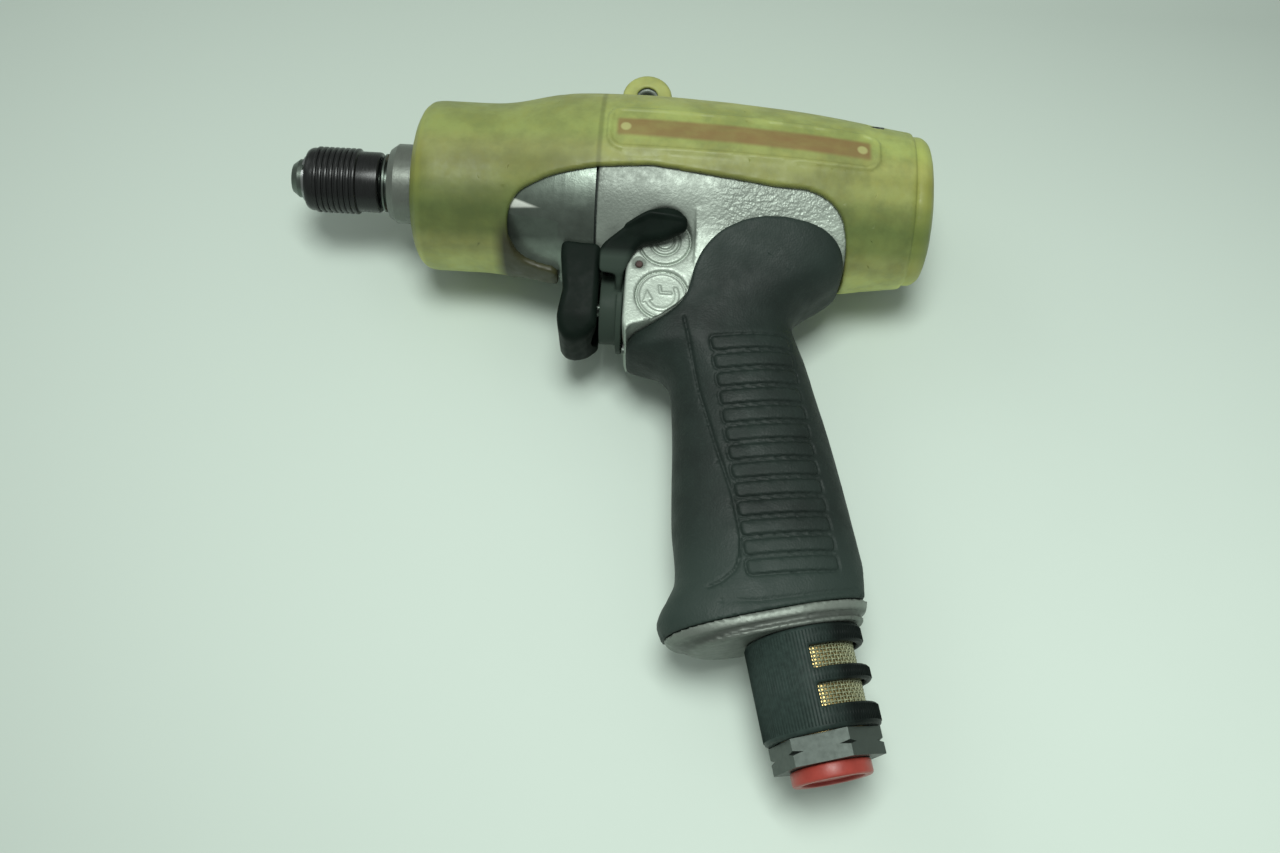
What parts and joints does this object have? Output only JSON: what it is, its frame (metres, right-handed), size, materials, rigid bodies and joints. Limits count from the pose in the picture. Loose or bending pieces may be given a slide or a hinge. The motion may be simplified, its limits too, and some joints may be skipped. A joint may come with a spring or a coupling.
{
  "type": "oil pulse wrench",
  "caption": "Pistol-grip pneumatic oil pulse wrench with hex quick-change chuck, soft cover, rubber grip, trigger with reverse lever, and air inlet with exhaust deflector at the foot.",
  "frame": {"origin": "centre of the mouth of the bit socket, on the output axis and on the tool's mid-plane", "axes": "+X along the output axis from the bit socket to the rear, +Y towards the top of the tool, +Z out of its left side, which faces up as the tool lies on its right side"},
  "size_m": [0.1974, 0.2186, 0.0627],
  "materials": {
    "dark_case": "satin",
    "cast_silver": "satin",
    "cover_yellow": "translucent satin",
    "grip_black": "satin",
    "black_plastic": "satin",
    "black_steel": "black oxide",
    "bright_steel": "turned",
    "spring_steel": "drawn",
    "ground_steel": "ground",
    "plate_red": "satin anodised",
    "brass": "machined",
    "bronze": "sintered",
    "vane_resin": "matt",
    "seal_black": "matt",
    "gasket_fibre": "matt",
    "inlet_steel": "dark zinc",
    "plug_red": "satin"
  },
  "bodies": {
    "housing": {"front_case": "dark_case", "front_bush": "bronze", "shaft_seal": "seal_black", "case_gasket": "gasket_fibre", "motor_housing": "cast_silver", "protective_cover": "cover_yellow", "rear_cap": "cast_silver", "cap_ring": "seal_black", "motor_washer": "spring_steel", "cover_screw": "black_steel", "nameplate": "plate_red", "nameplate_rivets": "bright_steel", "grip_rubber": "grip_black", "trigger_bush": "brass", "bush_pin": "bright_steel", "valve_spring": "spring_steel", "detent_ball": "ground_steel", "detent_spring": "spring_steel", "motor_cylinder": "ground_steel", "front_end_plate": "ground_steel", "rear_end_plate": "ground_steel", "cylinder_dowel": "ground_steel", "bearing_outer_rings": "ground_steel", "inlet_bushing": "inlet_steel", "inlet_tube": "bright_steel", "bushing_ring": "seal_black", "inlet_strainer": "bright_steel", "silencer_mesh": "brass"},
    "trigger_unit": {"trigger": "black_plastic", "trigger_pin": "bright_steel", "trigger_rod": "bright_steel", "throttle_valve": "brass"},
    "reverse_unit": {"reverse_lever": "black_plastic", "reverse_valve": "bronze"},
    "rotor_unit": {"rotor": "ground_steel", "rotor_vanes": "vane_resin", "bearing_inner_rings": "ground_steel", "bearing_balls": "ground_steel", "pulse_liner": "ground_steel", "liner_lid": "ground_steel", "relief_screw": "bright_steel"},
    "anvil_unit": {"anvil": "bright_steel", "pulse_blades": "ground_steel", "blade_springs": "spring_steel", "chuck_spring": "spring_steel", "chuck_balls": "ground_steel", "chuck_washer": "bright_steel", "snap_ring": "spring_steel"},
    "sleeve": {"chuck_sleeve": "black_steel"},
    "deflector": {"exhaust_deflector": "black_plastic"},
    "plug": {"transit_plug": "plug_red"}
  },
  "joints": [
    {"name": "trigger_pull", "type": "slide", "parent": "housing", "child": "trigger_unit", "axis": [1, 0, 0], "range_m": [0, 0.0045], "stiffness_N_per_m": 900, "springref_m": -0.004, "deforming": ["valve_spring"]},
    {"name": "reverse_turn", "type": "hinge", "parent": "housing", "child": "reverse_unit", "pos_m": [0.11, -0.039, 0], "axis": [1, 0, 0], "range_deg": [0, 50]},
    {"name": "rotor_spin", "type": "hinge", "parent": "housing", "child": "rotor_unit", "pos_m": [0.1, 0, 0], "axis": [1, 0, 0], "continuous": true},
    {"name": "anvil_spin", "type": "hinge", "parent": "housing", "child": "anvil_unit", "pos_m": [0.04, 0, 0], "axis": [1, 0, 0], "continuous": true},
    {"name": "sleeve_slide", "type": "slide", "parent": "anvil_unit", "child": "sleeve", "axis": [-1, 0, 0], "range_m": [0, 0.003], "stiffness_N_per_m": 1500, "springref_m": -0.003, "deforming": ["chuck_spring"]},
    {"name": "deflector_turn", "type": "hinge", "parent": "housing", "child": "deflector", "pos_m": [0.1645, -0.146, 0], "axis": [0.2419, -0.9703, 0], "continuous": true},
    {"name": "plug_pull", "type": "slide", "parent": "housing", "child": "plug", "axis": [0.2419, -0.9703, 0], "range_m": [0, 0.06]}
  ]
}
